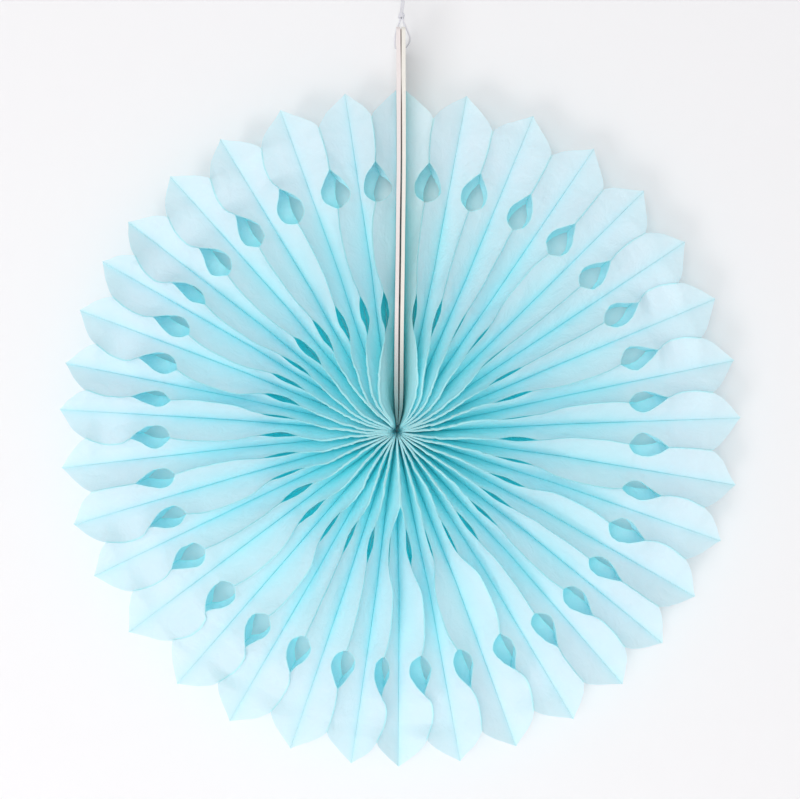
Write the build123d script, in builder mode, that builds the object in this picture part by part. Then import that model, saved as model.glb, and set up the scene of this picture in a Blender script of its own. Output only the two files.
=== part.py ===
from build123d import *
from math import cos, radians, sin, sqrt, tan
import os

# A paper fan rosette: a stack of cut tissue leaves, glued edge to edge in pairs and then pair to pair, hangs
# open as a full disc from two card strips that stand back to back at the top, with a thread through them.
# Millimetres and degrees. The front faces -Y, +Z is up, and the origin is the inside top of the hanging loop.

# The open disc, from its centre outwards
disc_radius = 125.0
hub_radius = 2.0
petal_depth = 12.5
petal_bulge = 1.0
notch_rise = 5.2

# How far each cell is opened, in degrees, clockwise from the right-hand card as seen from the front. A fan
# opened by hand is uneven, and the openings are scaled so that together they close the circle.
cell_openings = (
    10.6, 11.8, 11.7, 11.1, 11.1, 10.9, 10.9, 9.8, 11.4, 9.8, 10.4, 9.6,
    9.7, 10.2, 10.8, 9.8, 10.5, 8.0, 10.6, 11.3, 10.9, 12.0, 11.2, 9.4,
    9.8, 9.9, 7.9, 9.3, 9.1, 8.0, 10.5, 10.6, 11.3, 11.3, 8.5,
)

# The paper: wall that stands for one leaf of tissue, and where the leaf's creases lie along it
paper = 0.3
crease_rings = (0.41, 0.78)

# The shapes cut out of both long edges of every leaf, with their depths measured across the flat leaf
teardrop_inset = 16.0
teardrop_length = 14.7
teardrop_depth = 6.8
teardrop_steps = 5
slit_start = 34.5
slit_length = 15.0
slit_depth = 3.4
slit_steps = 3
cut_overrun = 2.0

# The two card strips, and the hole near the top of both
card_thickness = 1.5
card_gap = 0.5
card_rise = 19.0
card_corner_radius = 2.0
hole_radius = 1.1
hole_inset = 4.4

# The thread, from the middle of the holes out to the right, up round the hanging loop, and back down to the
# middle of the holes from the left. The loop's inside top is this far above the cards' tops.
loop_rise = 28.0
thread_diameter = 0.6
thread_sides = 8
thread_route = (
    (0.1, -31.8), (2.4, -31.7), (4.1, -28.5), (2.7, -24.7), (1.05, -21.3), (1.0, -18.0),
    (1.6, -14.7), (1.35, -11.2), (2.8, -8.0), (4.2, -4.4), (3.0, -0.7), (0.3, 0.7),
    (-2.4, -0.9), (-3.6, -4.6), (-1.8, -8.2), (0.55, -11.2), (0.85, -14.7), (0.2, -18.0),
    (0.3, -21.3), (-1.7, -25.0), (-2.55, -28.9), (-2.3, -31.9), (-0.1, -31.8),
)
corner_share = 0.45
lower_knot_centre = (0.63, 0, -19.7)
upper_knot_centre = (0.99, 0, -11.9)
knot_width = 2.6
knot_height = 2.2
knot_bevel = 0.5

# Sizes that follow from these
notch_radius = disc_radius - petal_depth
teardrop_tip = notch_radius - teardrop_inset
cut_end = disc_radius + cut_overrun
rings = [hub_radius] + [share * disc_radius for share in crease_rings]
closing = 360.0 / sum(cell_openings)
half_openings = [radians(opening * closing / 2) for opening in cell_openings]
half_leaf = sqrt((notch_radius * tan(max(half_openings))) ** 2 + notch_rise**2)
slab = 2 * card_thickness + card_gap
card_top = -loop_rise
centre_height = card_top - card_rise - disc_radius


def ridge_height(along, half):
    """Height of a glued edge above the disc's middle plane, for a leaf of fixed width. It runs on straight past
    the notch, where the leaf is trimmed away."""
    if along <= notch_radius:
        return sqrt(half_leaf**2 - (along * tan(half)) ** 2)
    inner, outer = ridge_height(rings[-1], half), ridge_height(notch_radius, half)
    return outer + (outer - inner) * (along - notch_radius) / (notch_radius - rings[-1])


def outer_ring(along, half):
    """Outside of a cell at one distance along it, flat where it is glued to its neighbours and at both ridges."""
    wide, high = along * tan(half), ridge_height(along, half)
    quarter = [(wide, paper), (min(paper, wide), high)]
    return [(along, x * side, y * face) for side in (1, -1) for face in (1, -1) for x, y in quarter]


def inner_ring(along, half):
    """Inside of a cell at one distance along it, one thickness of paper in."""
    wide, high = along * tan(half) - paper, ridge_height(along, half) - paper
    return [(along, wide, 0), (along, 0, high), (along, -wide, 0), (along, 0, -high)]


def mirrored(side):
    """The other side of an outline, without its two end points."""
    return [(along, -across) for along, across in reversed(side[1:-1])]


def opened(depth, along, half):
    """How far a cut of this depth in the flat leaf reaches sideways once its cell is open."""
    return depth / half_leaf * along * tan(half)


def teardrop(half):
    """Cut-out nearer the rim, pointed at its outer end and rounder towards the hub."""
    side = []
    for step in range(teardrop_steps + 1):
        turn = radians(180 * step / teardrop_steps)
        along = teardrop_tip - teardrop_length * (1 - cos(turn)) / 2
        fullness = sin(turn) * sqrt(sin(turn / 2) + sin(turn) / 2) / 1.1
        side.append((along, opened(teardrop_depth, along, half) * fullness))
    return side + mirrored(side)


def slit(half):
    """Leaf-shaped cut-out nearer the hub."""
    side = []
    for step in range(slit_steps + 1):
        along = slit_start + slit_length * step / slit_steps
        fullness = sin(radians(180 * step / slit_steps))
        side.append((along, opened(slit_depth, along, half) * fullness))
    return side + mirrored(side)


def rim_waste(half, side):
    """What is trimmed off the rim on one side of a cell, to leave half a petal from its tip to the notch."""
    tip = (disc_radius * cos(half), disc_radius * sin(half))
    middle = ((tip[0] + notch_radius) / 2 + petal_bulge, tip[1] / 2)
    outline = [(notch_radius, 0), middle, tip, (cut_end, tip[1] + cut_overrun), (cut_end, 0)]
    return [(along, across * side) for along, across in outline]


os.makedirs("parts", exist_ok=True)

# The cells go round from the right-hand card to the left-hand one. Each is two leaves glued along their front
# and back edges, and it is glued to the next cell along the middle. The cells' points drift across from one
# card's outer face to the other's, which leaves a slot as wide as the cards at the top.
edge_angles = [2 * sum(half_openings[:count]) for count in range(1, len(half_openings))]
drift = slab / sum(sin(angle) ** 2 for angle in edge_angles)
apex = Vector(slab / 2, 0, centre_height)
edge_angle = 0.0
for number, half in enumerate(half_openings, 1):
    middle_angle = edge_angle + half
    cell_plane = Plane(origin=apex, x_dir=(sin(middle_angle), 0, cos(middle_angle)), z_dir=(0, -1, 0))
    outside = rings + [cut_end]
    cavity = [1.5 * paper / tan(half)] + rings[1:] + [cut_end]
    with BuildPart(cell_plane) as cell:
        for near, far in zip(outside, outside[1:]):
            ConvexPolyhedron(outer_ring(near, half) + outer_ring(far, half))
        for near, far in zip(cavity, cavity[1:]):
            ConvexPolyhedron(inner_ring(near, half) + inner_ring(far, half), mode=Mode.SUBTRACT)
        with BuildSketch(cell_plane):
            for outline in (teardrop(half), slit(half), rim_waste(half, 1), rim_waste(half, -1)):
                with BuildLine():
                    Polyline(*outline, close=True)
                make_face()
        extrude(amount=half_leaf + cut_overrun, both=True, mode=Mode.SUBTRACT)
    cell.part.label = f"cell_{number:02d}"
    export_step(cell.part, f"parts/{cell.part.label}.step")
    edge_angle += 2 * half
    apex = apex + Vector(sin(edge_angle), 0, cos(edge_angle)) * (-drift * sin(edge_angle))

# The card strips run from the hub to above the rim, as wide as the leaves are. Their outer faces are glued to
# the first and the last cell, and their top corners are rounded.
card_foot = centre_height + hub_radius
card_middle = (card_top + card_foot) / 2
for name, inner_face in (("card_strip_right", card_gap / 2), ("card_strip_left", -card_gap / 2 - card_thickness)):
    with BuildPart() as card:
        with BuildSketch(Plane.YZ.offset(inner_face)) as face:
            with Locations((0, card_middle)):
                Rectangle(2 * half_leaf, card_top - card_foot)
            fillet(face.vertices().group_by(Axis.Y)[-1], card_corner_radius)
            with Locations((0, card_top - hole_inset)):
                Circle(hole_radius, mode=Mode.SUBTRACT)
        extrude(amount=card_thickness)
    card.part.label = name
    export_step(card.part, f"parts/{name}.step")

# The thread goes through both cards' holes, and its two legs meet in a knot above the cards. Both go on up
# to a second knot, and beyond it they are the two sides of the hanging loop.
route = [Vector(x, 0, z) for x, z in thread_route]
runs = [end - begin for begin, end in zip(route, route[1:])]
corner_radii = []
for before, after in zip(runs, runs[1:]):
    half_turn = radians(before.get_angle(after)) / 2
    corner_radii.append(corner_share * min(before.length, after.length) / tan(half_turn))
print("thread corner radii", [round(radius, 2) for radius in corner_radii])
with BuildPart() as thread:
    with BuildLine() as thread_line:
        FilletPolyline(*route, radius=corner_radii)
    with BuildSketch(Plane(origin=route[0], x_dir=(0, 1, 0), z_dir=runs[0])):
        RegularPolygon(thread_diameter / 2, thread_sides)
    sweep()
thread.part.label = "thread"
export_step(thread.part, "parts/thread.step")
thread_length = sum(edge.length for edge in thread_line.edges())
print("thread length", round(thread_length, 2), "volume", round(thread.part.volume, 3))

# The two knots are beads of thread drawn tight round both legs.
for name, knot_centre in (("lower_knot", lower_knot_centre), ("upper_knot", upper_knot_centre)):
    with BuildPart() as knot:
        with Locations(knot_centre):
            Cylinder(knot_width / 2, knot_height)
        chamfer(knot.edges().filter_by(GeomType.CIRCLE), knot_bevel)
        add(thread.part, mode=Mode.SUBTRACT)
    knot.part.label = name
    export_step(knot.part, f"parts/{name}.step")
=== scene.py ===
import random
from math import cos, exp, hypot, pi, radians, sin, sqrt

import bmesh
import bpy
from mathutils import Matrix, Vector, noise


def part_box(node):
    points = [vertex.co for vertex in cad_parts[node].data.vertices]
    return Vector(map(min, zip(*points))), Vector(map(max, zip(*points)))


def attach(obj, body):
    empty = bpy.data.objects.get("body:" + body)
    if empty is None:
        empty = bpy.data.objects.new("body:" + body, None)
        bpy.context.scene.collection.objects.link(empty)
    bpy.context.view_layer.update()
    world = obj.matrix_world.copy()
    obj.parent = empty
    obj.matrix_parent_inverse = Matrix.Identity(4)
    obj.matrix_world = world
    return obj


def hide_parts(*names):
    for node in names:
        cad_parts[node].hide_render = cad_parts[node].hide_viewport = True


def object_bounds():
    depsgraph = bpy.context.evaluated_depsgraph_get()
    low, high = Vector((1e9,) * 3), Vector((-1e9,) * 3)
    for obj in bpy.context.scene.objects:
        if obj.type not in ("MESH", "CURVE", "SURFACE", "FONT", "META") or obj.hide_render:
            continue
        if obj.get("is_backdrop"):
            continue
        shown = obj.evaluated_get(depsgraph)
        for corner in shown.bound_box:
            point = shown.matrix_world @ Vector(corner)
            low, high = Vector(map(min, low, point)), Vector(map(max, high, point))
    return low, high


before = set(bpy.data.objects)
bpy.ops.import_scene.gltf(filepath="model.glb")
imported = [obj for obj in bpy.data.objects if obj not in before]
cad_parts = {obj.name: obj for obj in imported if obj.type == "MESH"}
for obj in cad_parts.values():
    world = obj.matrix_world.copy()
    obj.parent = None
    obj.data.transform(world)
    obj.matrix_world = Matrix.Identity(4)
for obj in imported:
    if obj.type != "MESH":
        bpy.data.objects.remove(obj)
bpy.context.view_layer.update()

# The paper disc. Each of its 35 cells is two leaves of thin turquoise tissue, glued to each other along their
# front and back edges, and to the next cell along the middle, where a fine crease shows. The leaves are cut in
# one stack, so all have the same two cut-outs, and opening the fan by hand pulls them askew.
hub_radius = 0.002
disc_radius = 0.125
notch_radius = 0.1125
slit_ends = (0.0345, 0.0495)
teardrop_ends = (0.0818, 0.0965)
slit_depth = 0.0050
teardrop_depth = 0.0066
glue_gap = 0.00004
leaf_rows = 130
hub_shift = Vector((-0.0011, 0, -0.0008))
card_bows = ((0.0, -0.00025), (0.035, -0.0001), (0.053, 0.0001), (0.071, 0.0003), (0.098, 0.0006), (0.15, 0.0004))
slab_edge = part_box("card_strip_right")[1].x
half_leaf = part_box("card_strip_right")[1].y
disc_centre = Vector((0, 0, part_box("card_strip_right")[0].z - hub_radius))

# One line for each cell, clockwise from the right-hand card: how far it is opened, in degrees, how far its
# front edge leans clockwise at 13, 27, 66 and 103 mm from the hub, in millimetres, and how wide its slit and
# its teardrop gape.
opened_cells = (
    (10.6, 3.6, 2.9, -1.2, -0.6, 0.70, 1.20),
    (11.8, 3.0, 1.0, -0.8, 0.4, 0.55, 1.08),
    (11.7, 2.7, 0.9, 0.4, 0.2, 0.25, 0.97),
    (11.1, 2.6, 0.8, -2.0, 0.0, 0.33, 1.03),
    (11.1, 2.3, 2.2, 0.3, -1.0, 0.28, 1.00),
    (10.9, 1.4, 0.7, 0.0, -2.7, 0.50, 1.00),
    (10.9, 0.6, -0.6, 2.1, -2.4, 0.55, 1.05),
    (9.8, 0.2, -0.9, -1.4, -1.6, 0.33, 0.95),
    (11.4, 1.0, 0.5, -1.4, -0.3, 0.62, 1.00),
    (9.8, 0.2, -0.5, 2.5, -1.5, 0.50, 0.95),
    (10.4, 0.1, -0.4, -2.4, -1.7, 0.55, 1.00),
    (9.6, -0.1, -0.3, -0.6, 0.0, 0.55, 0.90),
    (9.7, 0.3, -0.7, 1.7, -1.2, 0.55, 1.00),
    (10.2, -0.1, 0.0, -0.8, 0.5, 0.60, 1.00),
    (10.8, -0.1, -0.8, -3.5, -2.5, 0.45, 0.93),
    (9.8, -0.5, -0.3, 3.4, -1.5, 0.38, 0.95),
    (10.5, 0.5, 0.9, -2.9, -3.2, 0.70, 0.97),
    (8.0, -1.6, -2.8, -2.2, -2.9, 0.30, 0.93),
    (10.6, 0.3, -0.7, -0.7, -0.7, 0.80, 1.00),
    (11.3, -0.1, -1.4, 0.0, -2.0, 0.60, 0.97),
    (10.9, -0.3, -1.8, -3.2, -3.1, 0.60, 1.02),
    (12.0, 0.1, -1.4, -2.9, -3.8, 0.75, 1.03),
    (11.2, 0.4, -0.9, -1.3, -2.0, 0.80, 1.02),
    (9.4, -0.2, -1.4, -3.3, -3.1, 0.50, 1.00),
    (9.8, -0.4, -1.4, 1.3, 0.1, 0.55, 1.00),
    (9.9, -0.8, -2.0, -2.1, -2.8, 0.70, 1.10),
    (7.9, -1.4, -1.0, 1.6, -1.2, 0.45, 0.95),
    (9.3, -1.8, -1.4, -3.6, -3.1, 0.90, 1.03),
    (9.1, -1.8, -1.2, -2.9, -2.0, 0.70, 1.07),
    (8.0, -2.5, -1.6, -2.2, -3.7, 0.75, 0.87),
    (10.5, -2.8, -1.5, -2.1, -2.8, 1.05, 1.10),
    (10.6, -1.4, -1.8, -1.5, -2.8, 0.85, 1.05),
    (11.3, -3.0, -2.4, 0.9, -2.4, 0.85, 1.12),
    (11.3, -3.5, -2.8, -2.0, 0.3, 1.00, 1.15),
    (8.5, -4.0, -2.2, -3.1, 0.5, 1.25, 1.50),
)
closing = 360 / sum(cell[0] for cell in opened_cells)
half_angles = [radians(cell[0] * closing / 2) for cell in opened_cells]

# The columns of a leaf, from 0 at the crease to 1 at the glued edge, and the stiff strips beside those two. From
# the trim start outwards, its rows are drawn in to the petal's outline.
across_shares = (0.0, 0.012, 0.03, 0.08, 0.17, 0.28, 0.39, 0.50, 0.61, 0.72, 0.82, 0.91, 0.965, 0.985, 1.0)
crease_strip = 0.012
edge_strip = 0.015
trim_start = 0.099
edge_waviness = 0.0004
ripple_height = 0.0012
cut_raggedness = 0.0002
back_skew = 0.0032


def clamped(value):
    """The value, kept between 0 and 1."""
    return min(max(value, 0), 1)


def closeness(distance, reach):
    """1 at no distance, which fades to nothing well beyond the reach."""
    return exp(-((distance / reach) ** 2))


def smooth_curve(stops, at):
    """Value at one place of a smooth curve through the stops, which are pairs of place and value."""
    for index, (near, far) in enumerate(zip(stops, stops[1:])):
        if at <= far[0]:
            break
    before = stops[max(index - 1, 0)]
    after = stops[min(index + 2, len(stops) - 1)]
    width = far[0] - near[0]
    rise_in = (far[1] - before[1]) / (far[0] - before[0]) * width
    rise_out = (after[1] - near[1]) / (after[0] - near[0]) * width
    x = (at - near[0]) / width
    return (
        (2 * x**3 - 3 * x**2 + 1) * near[1]
        + (x**3 - 2 * x**2 + x) * rise_in
        + (3 * x**2 - 2 * x**3) * far[1]
        + (x**3 - x**2) * rise_out
    )


def edge_lean(cell, along, wave_seed, drop_lean):
    """How far the glued edge of a cell leans clockwise at a distance from the hub."""
    near_hub, outer_hub, waist, petal = (value * 0.001 for value in cell[1:5])
    stops = (
        (0.0, 0.0),
        (0.013, near_hub),
        (0.027, outer_hub),
        (0.035, 0.25 * outer_hub),
        (0.042, 0.0),
        (0.050, 0.1 * waist),
        (0.058, 0.85 * waist),
        (0.0665, waist),
        (0.076, 0.8 * waist),
        (0.084, 0.1 * waist + 0.8 * drop_lean),
        (0.089, drop_lean),
        (0.0965, 0.2 * petal + 0.5 * drop_lean),
        (0.0995, 0.75 * petal),
        (0.103, petal),
        (0.1075, 0.85 * petal),
        (0.1105, 0.4 * petal),
        (0.113, 0.0),
        (0.130, 0.0),
    )
    waviness = edge_waviness * min(along / 0.012, 1) * (1 if along < 0.034 else 0.4)
    wave = noise.noise(Vector((along * 160, wave_seed * 7.3, 0.5)))
    wave += 0.6 * noise.noise(Vector((along * 420, wave_seed * 3.1, 4.5)))
    wave += 0.3 * noise.noise(Vector((along * 1100, wave_seed * 2.7, 8.5))) * (along < 0.034)
    return smooth_curve(stops, along) + waviness * wave


def cut_depth(along, slit_gape, drop_gape):
    """How deep the slit or the teardrop is cut into a leaf's edge at a distance from the hub."""
    share = (along - slit_ends[0]) / (slit_ends[1] - slit_ends[0])
    if 0 < share < 1:
        return slit_depth * slit_gape * sin(pi * share) ** 0.9
    share = (teardrop_ends[1] - along) / (teardrop_ends[1] - teardrop_ends[0])
    if 0 < share < 1:
        return teardrop_depth * drop_gape * sin(pi * share**1.25) ** 0.65
    return 0.0


def leaf_station(share):
    """Distance from the hub of one row of a leaf. The rows are closer together at the ends of the cut-outs."""
    zones = (
        (0.0, 0.0004, False),
        (0.36, slit_ends[0], True),
        (0.49, slit_ends[1], False),
        (0.62, teardrop_ends[0], True),
        (0.81, teardrop_ends[1], False),
        (1.0, disc_radius, False),
    )
    for near, far in zip(zones, zones[1:]):
        if share <= far[0]:
            break
    x = (share - near[0]) / (far[0] - near[0])
    if near[2]:
        x = (1 - cos(pi * x)) / 2
    return near[1] + (far[1] - near[1]) * x


def petal_end(share):
    """Distance from the hub at which the trimmed leaf ends, from its tip at the crease to the notch."""
    return disc_radius - (disc_radius - notch_radius) * (0.85 * share + 0.15 * share**3)


def glue_bead(along, from_edge, seed):
    """Half the width of a glued edge, which is stiff and faces the front near the hub. Its border is ragged."""
    if from_edge not in (1, 2):
        return 0.0
    width = 0.0001 + 0.0003 * clamped((0.040 - along) / 0.018)
    width *= 1 + 0.8 * noise.noise(Vector((along * 800, seed, from_edge)))
    return width * (1, 0.8)[from_edge - 1]


def pinched(apex, along):
    """The pointed ends of all the cells are drawn together at the hub, although the cards hold them apart."""
    return disc_centre + (apex - disc_centre) * (1 - 0.75 * closeness(along, 0.006))


def pulled(place):
    """The hub hangs a little to the left of the cards' line, and the cards bow from it to the right."""
    away = place - disc_centre
    from_hub = hypot(away.x, away.z)
    beside_cards = closeness(away.x, 0.006) * clamped(away.z / 0.004)
    sag = hub_shift * max(1 - (from_hub / 0.06) ** 2, 0) * (1 - 0.9 * beside_cards)
    bow = smooth_curve(card_bows, min(from_hub, 0.149)) * beside_cards
    return place + sag + Vector((bow, 0, 0))


def leaf_point(apex, middle_angle, half_angle, side, front, along, share, lean, bead):
    """Place of one point of an opened leaf. Share runs from 0 at the crease to 1 at the glued edge."""
    spread = along * half_angle
    reach = min(spread + abs(lean), 0.95 * half_leaf)
    height = sqrt(half_leaf**2 - reach**2)
    x = clamped((share - crease_strip) / (1 - crease_strip - edge_strip))
    fold = 0.7 * x + 0.3 * (3 * x**2 - 2 * x**3)
    page = share ** (1.6 if along < 0.036 else 1.15)
    bead_room = (0.45 + 0.4 * closeness(along, 0.007)) * spread
    across = side * max(spread * (1 - fold), glue_gap, min(bead, bead_room)) - side * glue_gap * (share < 0.5)
    bulge = 0.0
    if side * lean > 0:
        chord = sqrt(max(spread - abs(lean), 0) ** 2 + height**2)
        slack = max(half_leaf - chord, 0)
        bulge = min(0.5 * sqrt(0.375 * chord * slack), 0.35 * spread) * 4 * share * (1 - share)
    crinkle = noise.noise(Vector((along * 70 + side * 3, share * 1.4 + front * 5, middle_angle * 23)))
    fine_crinkle = noise.noise(Vector((along * 210, share * 4 + side, middle_angle * 31 + front)))
    crinkle = 0.5 * crinkle + 0.25 * fine_crinkle
    ripple = ripple_height * crinkle * min(along / 0.05, 1) * 4 * share * (1 - share)
    sideways = across - side * bulge + lean * page + ripple
    outwards = Vector((sin(middle_angle), 0, cos(middle_angle)))
    clockwise = Vector((cos(middle_angle), 0, -sin(middle_angle)))
    turn = sideways / max(along, 0.0001)
    place = pinched(apex, along) + outwards * (along * cos(turn)) + clockwise * (along * sin(turn))
    height *= 1 - 0.75 * closeness(along, 0.0012)
    place.y = -front * height * share
    return pulled(place)


def build_cell(number, cell, apex, middle_angle, half_angle, chance):
    """Both leaves of one cell, as two grids that are cut, trimmed and pulled open by moving their points. The
    back can't be seen in the photo. Its cuts are set askew by guess, for what shows through the front ones."""
    mesh = bpy.data.meshes.new(f"cell_{number:02d}_paper")
    leaves = bmesh.new()
    cut_edge = leaves.verts.layers.float.new("cut_edge")
    crease = leaves.verts.layers.float.new("crease")
    painted_fold_shade = leaves.verts.layers.float.new("painted_fold_shade")
    uv = leaves.loops.layers.uv.new("leaf")
    back_cell = cell[:3] + tuple(value * chance.uniform(-0.8, 0.8) for value in cell[3:5])
    askew = cos(middle_angle + pi / 4)
    back_drop = back_skew * askew + chance.uniform(-0.0005, 0.0005)
    columns = 2 * (len(across_shares) - 1)
    flat = {}
    for side in (-1, 1):
        grid = bmesh.ops.create_grid(leaves, x_segments=leaf_rows, y_segments=columns, size=1)["verts"]
        for vert in grid:
            row = round((vert.co.x + 1) / 2 * leaf_rows)
            column = round((vert.co.y + 1) / 2 * columns) - columns // 2
            front = 1 if column >= 0 else -1
            along = leaf_station(row / leaf_rows)
            if front > 0:
                depth = cut_depth(along, cell[5], cell[6])
            else:
                depth = cut_depth(along, 0.25, (0.85 + 0.4 * side * askew) * cell[6])
            if depth > 0:
                depth += cut_raggedness * noise.noise(Vector((along * 900, number, side)))
            share = across_shares[abs(column)] * (1 - depth / half_leaf)
            if along > trim_start:
                drawn_in = (along - trim_start) * (petal_end(share) - trim_start) / (disc_radius - trim_start)
                along = trim_start + drawn_in
            if front > 0:
                lean = edge_lean(cell, along, number, 0.0)
            else:
                lean = edge_lean(back_cell, along, number + 40, back_drop)
            from_edge = columns // 2 - abs(column)
            bead = glue_bead(along, from_edge, number * 2 + side)
            vert.co = leaf_point(apex, middle_angle, half_angle, side, front, along, share, lean, bead)
            # The glued edges are painted paler: a painted highlight where the paper's edge catches the light.
            vert[cut_edge] = (1.0, 1.0, 0.7, 0.0)[min(from_edge, 3)]
            # The crease is painted darker, partly for the doubled glued tissue and partly as painted shade in its
            # groove, less so towards the rim.
            fading = 1 - 0.5 * clamped((along - 0.08) / 0.03)
            vert[crease] = fading * (1.0, 0.75, 0.4, 0.22, 0.1, 0.04, 0.0)[min(abs(column), 6)]
            # Painted shade: deeper towards the hub and the crease in front, and towards the hub on the back,
            # where the leaves lie close.
            inwards = 0.24 * clamped((0.100 - along) / 0.03) + 0.76 * clamped((0.050 - along) / 0.036)
            shaded = 0.75 * clamped((0.1 - along) / 0.03)
            vert[painted_fold_shade] = inwards * (0.35 + 0.65 * (1 - share)) if front > 0 else shaded
            flat[vert] = (along * 40, side * front * share * 40 * half_leaf)
    for face in leaves.faces:
        face.smooth = True
        for loop in face.loops:
            loop[uv].uv = flat[loop.vert]
    bmesh.ops.recalc_face_normals(leaves, faces=leaves.faces)
    leaves.to_mesh(mesh)
    leaves.free()
    piece = bpy.data.objects.new(mesh.name, mesh)
    bpy.context.collection.objects.link(piece)
    return piece


def new_material(name, base, roughness):
    """A material with one Principled shader, and the tools to add nodes to it."""
    material = bpy.data.materials.new(name)
    material.use_nodes = True
    nodes = material.node_tree.nodes
    shader = nodes["Principled BSDF"]
    shader.inputs["Base Color"].default_value = (*base, 1)
    shader.inputs["Roughness"].default_value = roughness
    return material, nodes, material.node_tree.links, shader


def add_node(nodes, kind, **settings):
    """A new node with its settings, and its inputs set by name where a setting starts with in_."""
    node = nodes.new(kind)
    for name, value in settings.items():
        if name.startswith("in_"):
            node.inputs[name[3:].replace("_", " ")].default_value = value
        else:
            setattr(node, name, value)
    return node


# Tissue lets some of the light through, so it is a mix of a plain shader and a translucent one in a deeper
# tint. Real tissue has one colour. Here it is pale at the rim, and the glued edges are painted paler, a painted
# highlight. Towards the hub and on the back it is painted deeper, as painted shade where the leaves lie close,
# and the creases are darker, partly for the doubled glued tissue and partly as painted shade in their grooves.
pale_tissue = (0.94, 0.93, 0.98)
fold_shade_tissue = (0.39, 0.98, 0.995)
glue_and_groove_shade = (0.38, 0.88, 0.93)
painted_edge_highlight = (0.69, 0.975, 0.99)
through_tint = (0.42, 1.0, 0.98)
through_share = 0.3
cloudiness = 0.16
edge_highlight_amount = 0.85
tissue, nodes, links, paper_shader = new_material("tissue_paper", pale_tissue, 0.75)
paper_shader.inputs["Specular IOR Level"].default_value = 0.03
place = add_node(nodes, "ShaderNodeTexCoord")
cloudy = add_node(nodes, "ShaderNodeTexNoise", in_Scale=90.0, in_Detail=4.0)
links.new(place.outputs["Object"], cloudy.inputs["Vector"])
fibres = add_node(nodes, "ShaderNodeTexNoise", in_Scale=1100.0, in_Detail=4.0)
links.new(place.outputs["Object"], fibres.inputs["Vector"])
# The tissue is mixed towards a deeper tint by the painted fold shade, with a random cloudy tone on top.
fold_mark = add_node(nodes, "ShaderNodeAttribute", attribute_name="painted_fold_shade")
mottle_and_fold_shade = add_node(nodes, "ShaderNodeMath", operation="MULTIPLY_ADD")
links.new(cloudy.outputs["Fac"], mottle_and_fold_shade.inputs[0])
mottle_and_fold_shade.inputs[1].default_value = cloudiness
links.new(fold_mark.outputs["Fac"], mottle_and_fold_shade.inputs[2])
body = add_node(nodes, "ShaderNodeMix", data_type="RGBA")
body.inputs["A"].default_value = (*pale_tissue, 1)
body.inputs["B"].default_value = (*fold_shade_tissue, 1)
links.new(mottle_and_fold_shade.outputs["Value"], body.inputs["Factor"])
# The crease: darker, partly for the doubled glued tissue and partly as painted shade in the groove.
crease_mark = add_node(nodes, "ShaderNodeAttribute", attribute_name="crease")
creased = add_node(nodes, "ShaderNodeMix", data_type="RGBA")
creased.inputs["B"].default_value = (*glue_and_groove_shade, 1)
links.new(crease_mark.outputs["Fac"], creased.inputs["Factor"])
links.new(body.outputs["Result"], creased.inputs["A"])
# Painted highlight: the glued edges are mixed towards a paler tint.
edge_mark = add_node(nodes, "ShaderNodeAttribute", attribute_name="cut_edge")
edge_highlighting = add_node(nodes, "ShaderNodeMath", operation="MULTIPLY")
edge_highlighting.inputs[1].default_value = edge_highlight_amount
links.new(edge_mark.outputs["Fac"], edge_highlighting.inputs[0])
edged = add_node(nodes, "ShaderNodeMix", data_type="RGBA")
edged.inputs["B"].default_value = (*painted_edge_highlight, 1)
links.new(edge_highlighting.outputs["Value"], edged.inputs["Factor"])
links.new(creased.outputs["Result"], edged.inputs["A"])
rumples = add_node(nodes, "ShaderNodeTexNoise", in_Scale=170.0, in_Detail=2.0, in_Distortion=0.6)
links.new(place.outputs["Object"], rumples.inputs["Vector"])
rumpled = add_node(nodes, "ShaderNodeBump", in_Strength=0.3, in_Distance=0.0015)
links.new(rumples.outputs["Fac"], rumpled.inputs["Height"])
bump = add_node(nodes, "ShaderNodeBump", in_Strength=0.35, in_Distance=0.0002)
links.new(fibres.outputs["Fac"], bump.inputs["Height"])
links.new(rumpled.outputs["Normal"], bump.inputs["Normal"])
links.new(bump.outputs["Normal"], paper_shader.inputs["Normal"])
links.new(edged.outputs["Result"], paper_shader.inputs["Base Color"])
tinted = add_node(nodes, "ShaderNodeMix", data_type="RGBA", blend_type="MULTIPLY")
tinted.inputs["Factor"].default_value = 1.0
tinted.inputs["B"].default_value = (*through_tint, 1)
links.new(edged.outputs["Result"], tinted.inputs["A"])
through = add_node(nodes, "ShaderNodeBsdfTranslucent")
links.new(tinted.outputs["Result"], through.inputs["Color"])
links.new(bump.outputs["Normal"], through.inputs["Normal"])
both = add_node(nodes, "ShaderNodeMixShader", in_Fac=through_share)
links.new(paper_shader.outputs["BSDF"], both.inputs[1])
links.new(through.outputs["BSDF"], both.inputs[2])
links.new(both.outputs["Shader"], nodes["Material Output"].inputs["Surface"])

chance = random.Random(11)
edge_angles = [2 * sum(half_angles[:count]) for count in range(1, len(half_angles))]
drift = 2 * slab_edge / sum(sin(angle) ** 2 for angle in edge_angles)
apex = disc_centre + Vector((slab_edge, 0, 0))
edge_angle = 0.0
for number, (cell, half_angle) in enumerate(zip(opened_cells, half_angles), 1):
    leaf_pair = build_cell(number, cell, apex, edge_angle + half_angle, half_angle, chance)
    leaf_pair.data.materials.append(tissue)
    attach(leaf_pair, "root")
    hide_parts(f"cell_{number:02d}")
    edge_angle += 2 * half_angle
    apex = apex - Vector((sin(edge_angle), 0, cos(edge_angle))) * (drift * sin(edge_angle))
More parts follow.
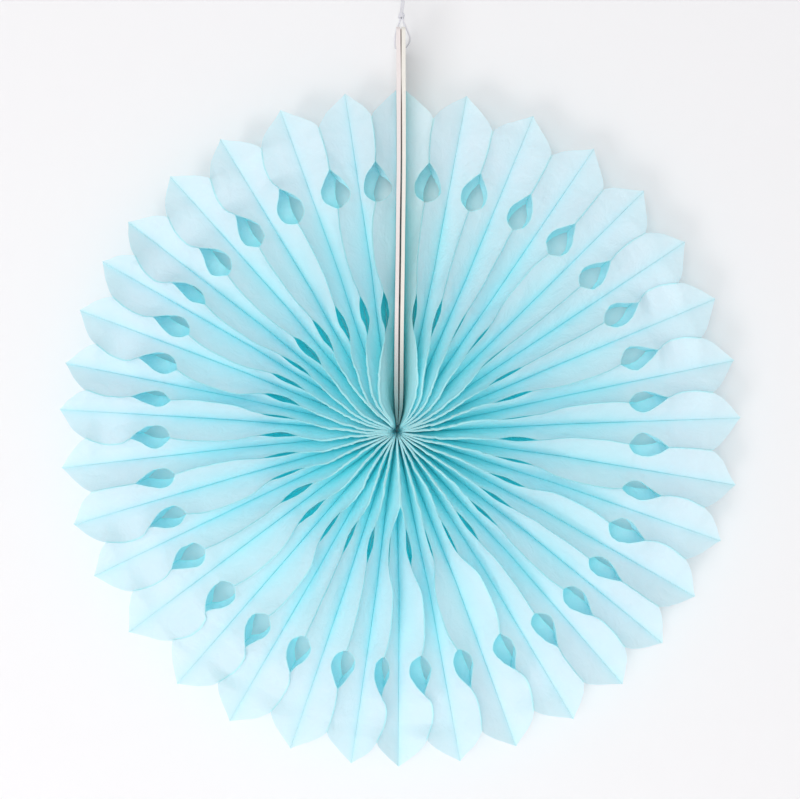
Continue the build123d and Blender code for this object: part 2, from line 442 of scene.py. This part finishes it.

# The two card strips are stiff board, pinkish white on the left and cream on the right. They stand back to back
# with the first and last leaves glued to their outer faces, bow a little, and narrow to a foot. The foot and
# the gap between the strips are painted darker and greener: painted shade, tinted with teal light bounced from
# the tissue. The foot and the gap are painted darker and greener, as they look in the photo. Why they look so
# isn't known.
board_colours = {"card_strip_left": (0.86, 0.78, 0.76), "card_strip_right": (0.87, 0.83, 0.76)}
foot_shade_colour = (0.19, 0.31, 0.31)
board_sections = 24
gap_floor = -0.0088
corner_bevel = 0.0002
weld = 0.00001
for name, colour in board_colours.items():
    low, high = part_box(name)
    board, nodes, links, board_shader = new_material(name + "_board", colour, 0.8)
    place = add_node(nodes, "ShaderNodeTexCoord")
    pulp = add_node(nodes, "ShaderNodeTexNoise", in_Scale=1500.0, in_Detail=5.0)
    links.new(place.outputs["Object"], pulp.inputs["Vector"])
    flecks = add_node(nodes, "ShaderNodeMix", data_type="RGBA")
    flecks.inputs["A"].default_value = (*(0.9 * value for value in colour), 1)
    flecks.inputs["B"].default_value = (*colour, 1)
    links.new(pulp.outputs["Fac"], flecks.inputs["Factor"])
    bump = add_node(nodes, "ShaderNodeBump", in_Strength=0.3, in_Distance=0.0001)
    links.new(pulp.outputs["Fac"], bump.inputs["Height"])
    links.new(bump.outputs["Normal"], board_shader.inputs["Normal"])
    # Painted shade: the foot and the gap are mixed towards a dark teal.
    darkened = add_node(nodes, "ShaderNodeMix", data_type="RGBA")
    darkened.inputs["B"].default_value = (*foot_shade_colour, 1)
    dark_mark = add_node(nodes, "ShaderNodeAttribute", attribute_name="painted_foot_shade")
    links.new(dark_mark.outputs["Fac"], darkened.inputs["Factor"])
    links.new(flecks.outputs["Result"], darkened.inputs["A"])
    links.new(darkened.outputs["Result"], board_shader.inputs["Base Color"])
    strip = bmesh.new()
    strip.from_mesh(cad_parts[name].data)
    darkness = strip.verts.layers.float.new("painted_foot_shade")
    bmesh.ops.remove_doubles(strip, verts=strip.verts, dist=weld)
    heights = [low.z + (high.z - low.z) * step / board_sections for step in range(1, board_sections)]
    cuts = [((0, 0, cut_at), (0, 0, 1)) for cut_at in heights] + [((0, gap_floor, 0), (0, 1, 0))]
    for cut_at, direction in cuts:
        geometry = strip.verts[:] + strip.edges[:] + strip.faces[:]
        bmesh.ops.bisect_plane(strip, geom=geometry, plane_co=cut_at, plane_no=direction)
    corners = []
    for edge in strip.edges:
        first, second = (vert.co for vert in edge.verts)
        upright = abs(first.x - second.x) < weld and abs(first.z - second.z) > 0.0005
        if upright and min(abs(first.y), abs(second.y)) > high.y - weld:
            corners.append(edge)
    bmesh.ops.bevel(
        strip,
        geom=corners,
        offset=corner_bevel,
        segments=2,
        profile=0.5,
        affect="EDGES",
        material=-1,
        clamp_overlap=True,
    )
    for vert in strip.verts:
        along = vert.co.z - disc_centre.z
        faces_the_gap = abs(vert.co.x) < 0.0006
        behind_the_gap = vert.co.y > gap_floor - 0.0001
        if faces_the_gap:
            vert.co.x *= 1 + 0.35 * clamped(1.5 - abs(along - 0.060) / 0.034)
            vert.co.x *= 1 - 0.7 * closeness(along - 0.127, 0.009)
            vert.co.x *= 0.15 if behind_the_gap else 1
        else:
            vert.co.x *= 0.94
        vert.co.x *= 1 - 0.75 * closeness(along, 0.006)
        # The foot and the gap between the strips are painted darker and greener: painted shade with teal bounced
        # light.
        vert[darkness] = clamped((0.041 - along) / 0.032)
        if behind_the_gap and abs(vert.co.x) < 0.0006:
            vert[darkness] = max(vert[darkness], 0.9 * clamped((0.110 - along) / 0.03))
        vert.co.y *= 1 - 0.6 * clamped((0.036 - along) / 0.034) ** 1.2
        vert.co = pulled(vert.co)
    mesh = bpy.data.meshes.new(name + "_board")
    strip.to_mesh(mesh)
    strip.free()
    mesh.materials.append(board)
    piece = bpy.data.objects.new(mesh.name, mesh)
    bpy.context.collection.objects.link(piece)
    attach(piece, "root")
    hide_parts(name)

# The thread is one strand of white twisted cotton. It passes through the hole in both cards, and its two legs
# meet in a knot above them, run on to a second knot, and open into the hanging loop. Its route is in
# millimetres, to the right and up from the loop's inside top.
thread_diameter = 0.0006
ply_angle = radians(35)
knot_turns = 3
knot_steps = 36
thread_route = (
    (0.1, -31.8),
    (2.4, -31.7),
    (4.1, -28.5),
    (2.7, -24.7),
    (1.05, -21.3),
    (1.0, -18.0),
    (1.6, -14.7),
    (1.35, -11.2),
    (2.8, -8.0),
    (4.2, -4.4),
    (3.0, -0.7),
    (0.3, 0.7),
    (-2.4, -0.9),
    (-3.6, -4.6),
    (-1.8, -8.2),
    (0.55, -11.2),
    (0.85, -14.7),
    (0.2, -18.0),
    (0.3, -21.3),
    (-1.4, -25.0),
    (-1.85, -28.9),
    (-1.75, -31.9),
    (-0.1, -31.8),
)
cotton, nodes, links, cotton_shader = new_material("twisted_cotton", (0.85, 0.84, 0.84), 0.9)
place = add_node(nodes, "ShaderNodeTexCoord")
turned = add_node(nodes, "ShaderNodeMapping", in_Rotation=(0.0, ply_angle, 0.0))
links.new(place.outputs["Object"], turned.inputs["Vector"])
plies = add_node(nodes, "ShaderNodeTexWave", bands_direction="Z", in_Scale=900.0, in_Distortion=0.6)
links.new(turned.outputs["Vector"], plies.inputs["Vector"])
# Painted shade: the grooves between the plies are painted a darker violet grey.
shade = add_node(nodes, "ShaderNodeMix", data_type="RGBA")
shade.inputs["A"].default_value = (0.82, 0.80, 0.87, 1)
shade.inputs["B"].default_value = (0.95, 0.94, 0.96, 1)
links.new(plies.outputs["Fac"], shade.inputs["Factor"])
links.new(shade.outputs["Result"], cotton_shader.inputs["Base Color"])
bump = add_node(nodes, "ShaderNodeBump", in_Strength=0.8, in_Distance=0.0002)
links.new(plies.outputs["Fac"], bump.inputs["Height"])
links.new(bump.outputs["Normal"], cotton_shader.inputs["Normal"])


def cotton_strand(name, points, thickness):
    """A smooth strand through a route of points in metres."""
    curve = bpy.data.curves.new(name, "CURVE")
    curve.dimensions = "3D"
    spline = curve.splines.new("NURBS")
    spline.points.add(len(points) - 1)
    for point, at in zip(spline.points, points):
        point.co = (*at, 1)
    spline.order_u = 3
    spline.use_endpoint_u = True
    spline.resolution_u = 12
    curve.bevel_depth = thickness / 2
    curve.bevel_resolution = 3
    curve.use_fill_caps = True
    curve.materials.append(cotton)
    piece = bpy.data.objects.new(name, curve)
    bpy.context.collection.objects.link(piece)
    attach(piece, "root")
    return piece


thread_points = [(x * 0.001, 0, z * 0.001) for x, z in thread_route]
thread = cotton_strand("thread_strand", thread_points, thread_diameter)
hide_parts("thread")
for name in ("lower_knot", "upper_knot"):
    low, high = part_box(name)
    middle = (low + high) / 2
    wrap_radius = (high.x - low.x - thread_diameter) / 2 * 0.97
    wrap_height = high.z - low.z - thread_diameter
    wraps = []
    for step in range(knot_steps + 1):
        turn = 2 * pi * knot_turns * step / knot_steps
        swell = wrap_radius * (0.72 + 0.28 * sin(pi * step / knot_steps))
        height = middle.z + wrap_height * (step / knot_steps - 0.5)
        wraps.append((middle.x + swell * cos(turn), middle.y + swell * sin(turn), height))
    knot = cotton_strand(name + "_wraps", wraps, thread_diameter)
    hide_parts(name)

# The stage is a pale floor and a wall just behind the disc. Both are clear from their far side, so that they
# hide nothing when the camera goes behind or below them.
stage_colour = (0.885, 0.865, 0.867)
wall_distance = 0.0155
floor_height = -1.10
stage_reach = 2
stage, nodes, links, stage_shader = new_material("pale_stage", stage_colour, 0.9)
stage_shader.inputs["Specular IOR Level"].default_value = 0.1
clear = add_node(nodes, "ShaderNodeBsdfTransparent")
facing = add_node(nodes, "ShaderNodeNewGeometry")
one_sided = add_node(nodes, "ShaderNodeMixShader")
links.new(facing.outputs["Backfacing"], one_sided.inputs[0])
links.new(stage_shader.outputs["BSDF"], one_sided.inputs[1])
links.new(clear.outputs["BSDF"], one_sided.inputs[2])
links.new(one_sided.outputs["Shader"], nodes["Material Output"].inputs["Surface"])
stage_planes = {
    "floor": Matrix.Translation((0, 0, floor_height)),
    "wall": Matrix.Translation((0, wall_distance, floor_height + stage_reach))
    @ Matrix.Rotation(radians(90), 4, "X"),
}
for name, place in stage_planes.items():
    plane = bmesh.new()
    bmesh.ops.create_grid(plane, x_segments=1, y_segments=1, size=stage_reach, matrix=place)
    mesh = bpy.data.meshes.new(name)
    plane.to_mesh(mesh)
    plane.free()
    mesh.materials.append(stage)
    piece = bpy.data.objects.new(name, mesh)
    bpy.context.collection.objects.link(piece)
    piece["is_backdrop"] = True

# Soft studio light: a broad lamp in front, a small low one at the left, a weak one at the right, and a pale
# surround. Each lamp has its place, its width and its power, and points at the middle of the disc.
surround_colour = (0.94, 0.97, 1.0)
surround_strength = 0.53
light_bounces = 20
lamps = {
    "left_lamp": ((-0.6, -1.0, -0.85), 0.4, 3.4),
    "right_softbox": ((1.1, -1.2, 0.2), 1.4, 1.2),
    "front_softbox": ((-0.25, -1.6, -0.15), 0.8, 10.4),
}
for name, (place, size, power) in lamps.items():
    light = bpy.data.lights.new(name, "AREA")
    light.size = size
    light.energy = power
    lamp = bpy.data.objects.new(name, light)
    lamp.location = place
    lamp.rotation_euler = (disc_centre - Vector(place)).to_track_quat("-Z", "Y").to_euler()
    bpy.context.collection.objects.link(lamp)
surround = bpy.data.worlds.new("surround")
surround.use_nodes = True
surround.node_tree.nodes["Background"].inputs["Color"].default_value = (*surround_colour, 1)
surround.node_tree.nodes["Background"].inputs["Strength"].default_value = surround_strength
bpy.context.scene.world = surround
bpy.context.scene.view_settings.view_transform = "Standard"
bpy.context.scene.cycles.max_bounces = light_bounces + 4
bpy.context.scene.cycles.diffuse_bounces = light_bounces
bpy.context.scene.cycles.transmission_bounces = light_bounces

# The camera looks straight at the disc from the front, level with a point a little above its centre.
camera_distance = 0.36
sensor_width = 36
view_width = 0.2954
view_centre = Vector((0.00009, 0, -0.1613))
camera_data = bpy.data.cameras.new("camera")
camera_data.sensor_width = sensor_width
camera_data.lens = sensor_width * camera_distance / view_width
camera = bpy.data.objects.new("camera", camera_data)
camera.location = view_centre + Vector((0, -camera_distance, 0))
camera.rotation_euler = (radians(90), 0, 0)
bpy.context.collection.objects.link(camera)
bpy.context.scene.camera = camera

low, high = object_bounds()
